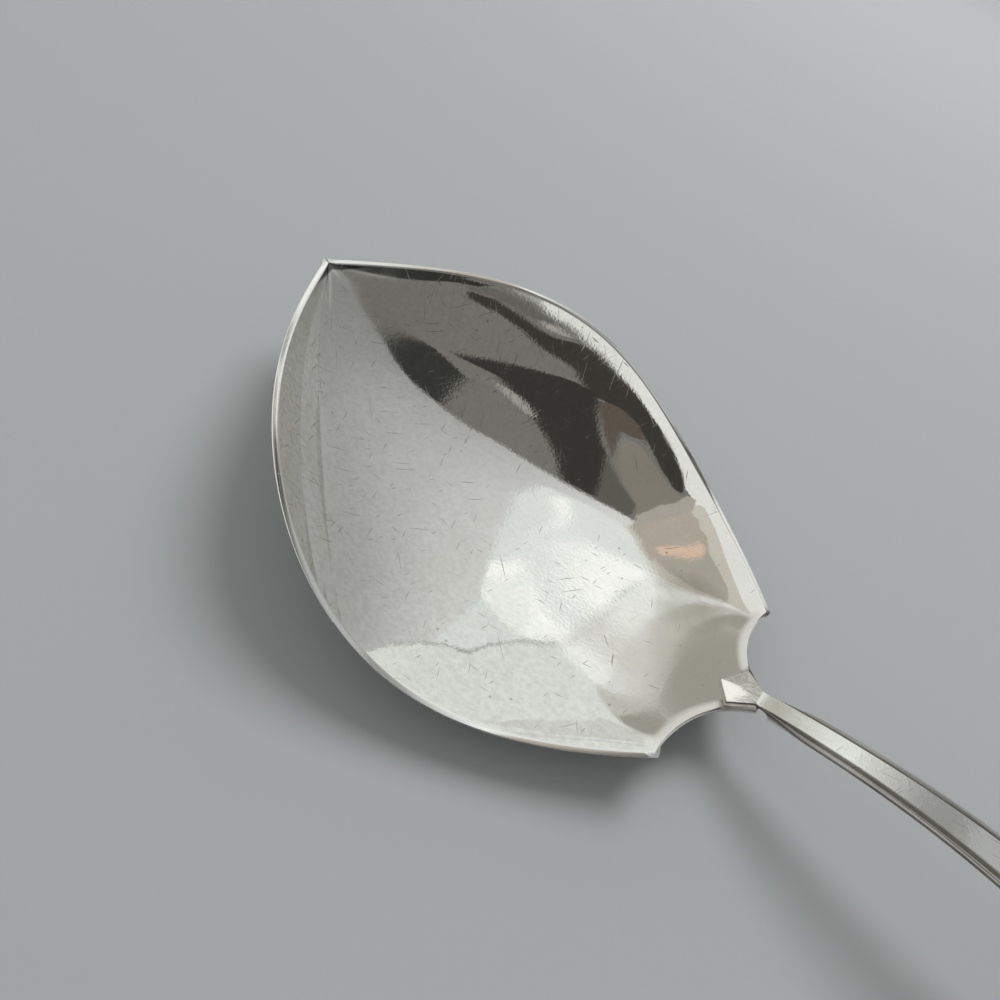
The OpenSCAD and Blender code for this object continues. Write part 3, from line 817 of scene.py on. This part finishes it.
def dome_patch(name, corners, soft, far):
    shaped = bmesh.new()
    fade = shaped.verts.layers.float.new("fade")
    middle = shaped.faces.new([shaped.verts.new((u, v, 0)) for u, v in corners])
    bmesh.ops.inset_region(shaped, faces=[middle], thickness=soft, use_even_offset=True)
    for spot in middle.verts:
        spot[fade] = 1
    bmesh.ops.triangulate(shaped, faces=shaped.faces)
    bmesh.ops.subdivide_edges(shaped, edges=shaped.edges, cuts=CARD_CUTS, use_grid_fill=True)
    for spot in shaped.verts:
        lean = math.radians(math.hypot(spot.co.x, spot.co.y))
        turn = math.atan2(spot.co.y, spot.co.x)
        flat = math.sin(lean)
        spot.co = Vector((flat * math.cos(turn), flat * math.sin(turn), math.cos(lean))) * far
    mesh = bpy.data.meshes.new(name)
    shaped.to_mesh(mesh)
    shaped.free()
    return mesh


print("each edge of a card gets", CARD_CUTS, "cuts, so that it can follow the dome")

# %% Card helper
hung = []


def glow(name, colour):
    shine = bpy.data.materials.new(name)
    shine.use_nodes = True
    tree = shine.node_tree
    tree.nodes.clear()
    light = put(tree, "Emission", {0: (*colour, 1), 1: 1.0})
    clear = put(tree, "BsdfTransparent")
    faded = put(tree, "MixShader", {0: stored(tree, "fade"), 1: clear.outputs[0], 2: light.outputs[0]})
    put(tree, "OutputMaterial", {0: faded.outputs[0]})
    return shine


def card(name, far, colour, soft, *corners):
    mesh = dome_patch(name, corners, soft, far)
    mesh.materials.append(glow(name, colour))
    made = place_piece(name, mesh)
    made.visible_camera = made.visible_diffuse = made.visible_shadow = False
    hung.append(name)


print("cards hung so far:", len(hung))

# %% Cards for the ceiling and the walls
card("ceiling", 20.4, (0.19, 0.187, 0.172), 0.12,
     (90, -52), (95, -40), (60, -30), (40, -8), (20, 15), (8, 31), (1.6, 35.9), (-0.6, 35.9),
     (-2.2, 35.1), (-5.2, 35.9), (-10.8, 36.4), (-11.8, 35.8), (-11.5, 29.3), (-15.1, 22.3),
     (-15.4, 19.4), (-11.4, 15.7), (-5.9, 9.5), (40.2, -29.2), (49.8, -35.2), (59.4, -38.6))
card("side_glow", 20.34, (0.44, 0.455, 0.455), 2.5,
     (13, 29), (24, 20), (46, 18), (50, 34), (37, 52), (22, 59), (9, 66), (5, 62), (10, 50))
card("pale_wall", 20.28, (0.775, 0.81, 0.78), 0.1,
     (-38, 90), (-18, 95), (-3, 92), (-4, 79.4), (-5.4, 69.5), (-7.5, 60.4), (-9.8, 54.1), (-12.2, 50.3),
     (-13.9, 44.2), (-15, 42.9), (-16.7, 42), (-20.1, 41.6), (-17, 41.9), (-20, 43), (-26, 42),
     (-31.5, 40.4), (-38, 55))
card("shoulder_pale", 20.256, (0.68, 0.7, 0.67), 3.4,
     (-22.5, 49), (-23.5, 64), (-34, 66), (-36, 54), (-31, 49.5), (-27, 49.5))
card("ceiling_far", 20.22, (0.235, 0.222, 0.19), 0.1,
     (5.6, 11.2), (3.3, 11.1), (-6.3, 19.4), (-10.6, 22.1), (-14.8, 21.7), (-11.5, 29.3), (-11.7, 35.6),
     (-10.9, 35.9), (-9.2, 33), (-5.7, 29.8), (-1.5, 24))
card("rim_grey", 20.22, (0.14, 0.14, 0.128), 0.08,
     (63.3, -37.5), (59, -37.5), (52.4, -35.7), (44.6, -31.9), (33.2, -23.7), (47.8, -31.9),
     (54.1, -34.5), (57.7, -34.7))
card("pale_wedge", 20.22, (0.78, 0.82, 0.8), 0.3,
     (-8.6, 58), (-9.8, 43.3), (-10.9, 43.5), (-14.9, 43), (-13.4, 45.2), (-12.1, 50.2))
card("bright_side", 20.16, (0.82, 0.83, 0.81), 0.1,
     (60, -50), (53.6, -37.3), (42, -30.8), (34.7, -25.1), (-2, 7.2), (-7.7, 13.1), (-11.6, 18.6),
     (-16.5, 21.2), (-22.6, 26.8), (-24.8, 29.5), (-28.3, 36.8), (-31.5, 37.4), (-46, 24), (-48, -2),
     (30, -45))
card("wall_line", 20.1, (0.42, 0.44, 0.43), 0.05,
     (-5.5, 69.7), (-5.4, 69.3), (-7.5, 60.2), (-9.7, 54), (-12.1, 50.2), (-12.9, 46.4), (-13.9, 44.2),
     (-14.9, 42.8), (-16.7, 41.9), (-20.2, 41.6), (-16.9, 42.1), (-15.1, 43), (-14, 44.4), (-13.1, 46.7),
     (-12.4, 50.8), (-9.9, 54.4), (-7.6, 60.6))
print("cards hung so far:", len(hung))

# %% [markdown]
# The neck and the pad mirror a narrow part of the room. Several overlapping cards with soft borders shade
# it step by step, which gives the satin look of the tarnished neck.

# %% Cards for the neck and the pad
card("neck_haze", 20.082, (0.8, 0.825, 0.81), 0.4,
     (-18.5, 43.4), (-20, 44), (-23, 43.2), (-26, 41.8), (-28, 41), (-27.5, 39.6), (-23, 39.6),
     (-20, 41.4))
card("neck", 20.064, (0.6, 0.585, 0.52), 0.2,
     (-16.8, 20.5), (-15, 23), (-11.6, 29.5), (-11.3, 36), (-11, 38), (-14.3, 39.93), (-17.2, 41.2),
     (-19, 41.4), (-21, 41.3), (-24.5, 40.2), (-26.5, 40.2), (-29.5, 38), (-28, 35.5), (-27.3, 33),
     (-27, 30), (-26, 27.6), (-24, 25), (-22, 23), (-18.5, 20.3))
card("neck_low", 20.063, (0.59, 0.59, 0.545), 0.2,
     (-34, 48), (-31, 50.5), (-27, 50), (-24.2, 47.8), (-20.6, 44.4), (-19.8, 43.4), (-21.1, 43.1),
     (-25.4, 40.95), (-29.5, 40.3), (-32, 39.6), (-34.5, 43))
card("neck_band", 20.052, (0.42, 0.4, 0.355), 1.4,
     (-12.8, 20.4), (-15.4, 20), (-16.2, 25), (-17.4, 27.2), (-20.4, 27.8), (-20.4, 31), (-22, 32),
     (-23.4, 34), (-23.2, 40), (-19.5, 40.8), (-16.5, 40.2), (-11.4, 37.6), (-10.4, 35), (-10.8, 29),
     (-12.2, 25.5))
card("neck_deep", 20.046, (0.365, 0.36, 0.32), 1.4,
     (-33.2, 41.5), (-33, 45), (-31, 48.4), (-28, 48.9), (-25, 48), (-23.4, 46.2), (-24.4, 44.2),
     (-28, 39.8), (-31.5, 40))
card("pad_light", 20.028, (1, 1, 0.95), 0.6,
     (-33.4, 45.6), (-32.6, 49.5), (-30, 51), (-29.5, 57), (-40, 62), (-45, 54), (-42, 46))
card("pad_shade", 20.028, (0.36, 0.35, 0.31), 0.6,
     (-34, 44), (-33.6, 41), (-33.2, 37.5), (-34, 33), (-44, 31), (-45, 43))
print("cards hung so far:", len(hung))

# %% [markdown]
# The brightest thing in the room is a window with a post and a bar, and the darkest are the beams of the
# ceiling. Between them they draw the strong pale and dark shapes in the bowl.

# %% Cards for the beams and the window
card("tip_shade", 19.92, (0.035, 0.036, 0.033), 0.2,
     (90, -48), (66.4, -38.4), (61.6, -38.3), (60.5, -36.9), (63.7, -36.6), (62, -31), (72, -32),
     (90, -40))
card("dark_edge", 19.92, (0.047, 0.045, 0.039), 0.06,
     (-11.7, 21), (-9.9, 21.3), (-4.3, 16.7), (8.5, 3), (14.6, -2.1), (15.6, -1.6), (17.3, -2.6),
     (24.6, -11.6), (37.3, -22.7), (43.1, -26.7), (51.1, -30.6), (56.8, -34.3), (51.8, -33.3),
     (45.4, -30), (36.1, -24), (36.3, -25.4), (33.9, -24.2), (-2, 7.2), (-7.6, 13.4), (-11.2, 18.5))
card("window", 19.92, (0.785, 0.835, 0.825), 0.12,
     (-20.7, 41.9), (-20.2, 41.7), (-17.9, 41.8), (-16.7, 42), (-14, 43), (-11.4, 43.3), (-9.7, 43.2),
     (-8.5, 40.8), (-6.1, 39), (-5.5, 37.7), (-5.7, 37.4), (-8.5, 37.5), (-11.1, 38.1), (-15.9, 40.9),
     (-18.5, 42.8), (-19.8, 43.2), (-20.4, 42.8))
card("neck_warm", 19.92, (0.46, 0.42, 0.36), 1,
     (-15.7, 25), (-18.1, 25.5), (-20.3, 29.3), (-19.3, 33.6), (-16.4, 39.8), (-15.5, 40.2), (-13.7, 39),
     (-11.8, 36.8), (-12.6, 33))
card("beam_brown", 19.86, (0.115, 0.095, 0.078), 0.3,
     (-0.7, 23.3), (15.3, -0.6), (15.5, -2.3), (13.6, -1.5), (8.9, 2.3), (4.4, 7.8), (5.3, 9.3),
     (6.8, 9.3))
card("dark_beam", 19.8, (0.042, 0.041, 0.038), 0.1,
     (19.7, -5), (17.7, -3.6), (15.3, -0.6), (2.4, 19.5), (-6.5, 32), (-7.4, 34.9), (-6.9, 35.8),
     (-4.9, 35.5), (-3.8, 34.3), (10.4, 14.2), (10, 17.8), (17.7, 1.9), (19.8, -3.8))
card("dark_corner", 19.8, (0.042, 0.044, 0.04), 0.1,
     (8.4, 21.2), (5.3, 24.5), (-0.4, 35.5), (0.6, 36.1), (2, 35.7), (3.3, 34.4), (7.7, 24.3),
     (8.7, 21.6))
card("window_low", 19.8, (0.955, 0.99, 0.96), 0.3,
     (-9.1, 41.6), (-9.4, 41.1), (-10.2, 40.6), (-11.8, 40.7), (-15.5, 41.7), (-16.8, 41.5),
     (-18.5, 42.8), (-19.8, 43.2), (-20.4, 42.8), (-20.7, 41.9), (-20.2, 41.7), (-17.9, 41.8),
     (-16.7, 42), (-14, 43), (-10.3, 43.3), (-9.7, 43.2))
card("tan_streak", 19.8, (0.74, 0.56, 0.43), 0.3,
     (-19.9, 30.3), (-19.4, 32.5), (-17.1, 38), (-16.1, 39), (-14.9, 38.5), (-17.6, 34.8), (-19, 31.1))
card("beam_foot", 19.74, (0.115, 0.114, 0.1), 0.4,
     (0.2, 22.8), (-4.9, 29.3), (-9, 32.9), (-10, 35.1), (-10, 36.3), (-7.1, 36.1))
card("window_post", 19.74, (1.02, 1.06, 1.03), 0.2,
     (-6.5, 38.2), (-6.8, 37.8), (-9.3, 40), (-11.8, 40.7), (-14.1, 41), (-15.8, 42.3), (-14.6, 42.7),
     (-13, 41), (-8.9, 40))
card("window_bar", 19.68, (1.1, 1.12, 1.1), 0.2,
     (-16.9, 41.6), (-15.9, 41.8), (-14.3, 41.5), (-12.5, 40.8), (-10.7, 40.7), (-9.3, 41.9),
     (-8.8, 41.1), (-9.8, 40.5), (-13.2, 41.2), (-16, 41.3))
card("glint", 19.56, (0.36, 0.36, 0.335), 0.05,
     (3.4, 24.3), (6.5, 20.6), (8.2, 17.8), (8, 17.6), (7.7, 17.7), (6.2, 19.7), (4.3, 22.5))
card("rim_glint", 19.56, (0.42, 0.41, 0.385), 0.05,
     (44.2, -30.6), (41.5, -29.3), (38.1, -26.9), (38.1, -26.4), (40, -27.4))
print("cards hung:", len(hung))

# %% [markdown]
# ## Lamp
# A single large lamp gives the floor its soft shadow. Silver would show it as a hard white disk, so it is
# hidden from reflections.

# %% Lamp
lamp = bpy.data.objects.new("lamp", bpy.data.lights.new("lamp", "AREA"))
bpy.context.scene.collection.objects.link(lamp)
lamp.data.shape = "DISK"
lamp.data.size = 0.5
lamp.data.energy = 6.0
lamp.location = (-0.15, 0.55, 0.75)
lamp.rotation_euler = (-lamp.location).to_track_quat("-Z", "Y").to_euler()
lamp.visible_glossy = False
print("lamp hangs", round(lamp.location.length, 2), "m away")

# %% [markdown]
# ## Finish
# Last, the scene is brought up to date.

# %% Finish
bpy.context.view_layer.update()
